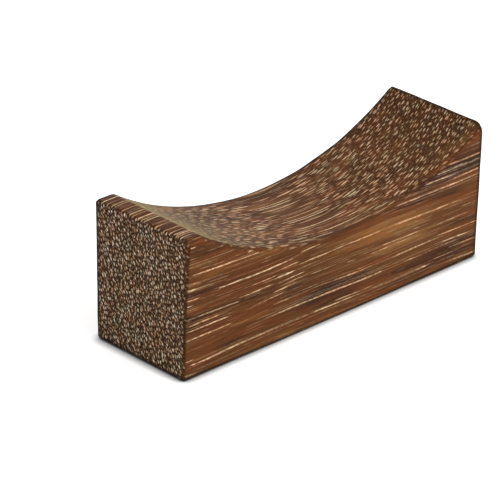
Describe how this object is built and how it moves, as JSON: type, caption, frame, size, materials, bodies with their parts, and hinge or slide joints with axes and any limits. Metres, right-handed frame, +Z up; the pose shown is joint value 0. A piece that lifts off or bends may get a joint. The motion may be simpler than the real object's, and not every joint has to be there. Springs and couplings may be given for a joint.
{
  "type": "chopstick rest",
  "caption": "Small hardwood block with a smooth scoop across its top that holds the tips of chopsticks off the table.",
  "frame": {"origin": "middle of the flat base, on the surface that the rest stands on", "axes": "+X along the length and the grain, towards the end with the narrower land; +Y across the width; +Z up"},
  "size_m": [0.045, 0.015, 0.0168],
  "materials": {
    "wood": "oiled satin dark hardwood, open grain"
  },
  "bodies": {
    "root": {"rest_block": "wood"}
  },
  "joints": []
}
